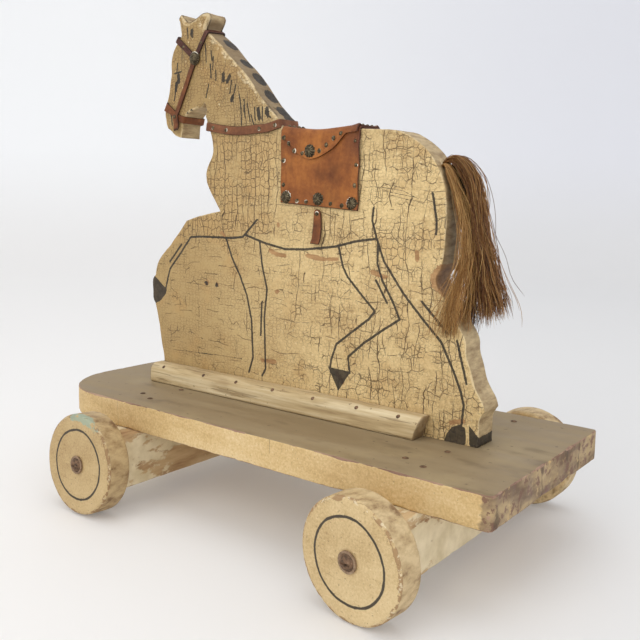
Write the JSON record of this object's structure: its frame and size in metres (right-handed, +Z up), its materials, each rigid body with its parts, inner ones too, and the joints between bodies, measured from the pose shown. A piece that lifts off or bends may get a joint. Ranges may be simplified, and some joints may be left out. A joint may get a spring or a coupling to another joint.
{
  "type": "pull along toy",
  "caption": "Flat wooden horse in old crackled paint standing on a wheeled board, with leather saddle and bridle and a horsehair tail.",
  "frame": {"origin": "on the floor under the middle of the whole toy, between the outermost ends of the board and the pull eye", "axes": "+X forward, the way the horse faces; +Y to the horse's left; +Z up"},
  "size_m": [0.476, 0.2988, 0.428],
  "materials": {
    "board_paint": "old cream paint worn to bare grey-brown wood",
    "horse_paint": "old crackled cream and ochre paint",
    "bare_wood": "bare, dry",
    "beam_paint": "flaking pale paint over brown wood",
    "wheel_paint": "old cream paint, dirty rims",
    "tan_leather": "worn satin",
    "brown_leather": "worn satin",
    "dark_leather": "worn satin",
    "old_brass": "tarnished nearly black",
    "rusty_iron": "rusty",
    "horsehair": "coarse red-brown hair"
  },
  "bodies": {
    "toy": {"platform": "board_paint", "horse": "horse_paint", "batten_left": "bare_wood", "batten_right": "bare_wood", "batten_nails_left": "rusty_iron", "batten_nails_right": "rusty_iron", "front_beam": "beam_paint", "rear_beam": "beam_paint", "beam_nails": "rusty_iron", "foot_screws": "rusty_iron", "screw_front_left": "rusty_iron", "screw_front_right": "rusty_iron", "screw_rear_left": "rusty_iron", "screw_rear_right": "rusty_iron", "washer_front_left": "rusty_iron", "washer_front_right": "rusty_iron", "washer_rear_left": "rusty_iron", "washer_rear_right": "rusty_iron", "saddle": "tan_leather", "saddle_skirt": "tan_leather", "stirrup_tacks": "old_brass", "daisy_tacks": "old_brass", "saddle_tacks": "old_brass", "pommel_tacks": "old_brass", "cantle_tacks": "old_brass", "breast_band": "brown_leather", "breast_band_tacks": "old_brass", "crown_strap": "dark_leather", "brow_band": "dark_leather", "cheek_strap_left": "dark_leather", "cheek_strap_right": "dark_leather", "nose_band": "dark_leather", "chin_strap": "dark_leather", "bridle_button_left": "old_brass", "bridle_button_right": "old_brass", "bridle_tacks": "old_brass", "tail_peg": "bare_wood", "pull_eye": "rusty_iron"},
    "front_left_wheel": {"wheel_front_left": "wheel_paint"},
    "front_right_wheel": {"wheel_front_right": "wheel_paint"},
    "rear_left_wheel": {"wheel_rear_left": "wheel_paint"},
    "rear_right_wheel": {"wheel_rear_right": "wheel_paint"},
    "tail": {"tail_hair": "horsehair"},
    "left_stirrup": {"stirrup_strap_left": "brown_leather"},
    "right_stirrup": {"stirrup_strap_right": "brown_leather"}
  },
  "joints": [
    {"name": "front_left_roll", "type": "hinge", "parent": "toy", "child": "front_left_wheel", "pos_m": [0.114, 0.134, 0.04296], "axis": [0.0087, 0.9975, 0.0698], "continuous": true},
    {"name": "front_right_roll", "type": "hinge", "parent": "toy", "child": "front_right_wheel", "pos_m": [0.114, -0.134, 0.04276], "axis": [-0.0174, 0.9992, -0.0349], "continuous": true},
    {"name": "rear_left_roll", "type": "hinge", "parent": "toy", "child": "rear_left_wheel", "pos_m": [-0.166, 0.134, 0.04261], "axis": [0.1115, 0.9937, -0.014], "continuous": true},
    {"name": "rear_right_roll", "type": "hinge", "parent": "toy", "child": "rear_right_wheel", "pos_m": [-0.166, -0.134, 0.04263], "axis": [0.0174, 0.9997, -0.0175], "continuous": true},
    {"name": "tail_swing", "type": "hinge", "parent": "toy", "child": "tail", "pos_m": [-0.141, 0, 0.296], "axis": [1, 0, 0], "range_deg": [-30, 30]},
    {"name": "left_stirrup_swing", "type": "hinge", "parent": "toy", "child": "left_stirrup", "pos_m": [-0.034, 0.0131, 0.256], "axis": [0, 1, 0], "range_deg": [-35, 35]},
    {"name": "right_stirrup_swing", "type": "hinge", "parent": "toy", "child": "right_stirrup", "pos_m": [-0.034, -0.0131, 0.256], "axis": [0, 1, 0], "range_deg": [-35, 35]}
  ]
}
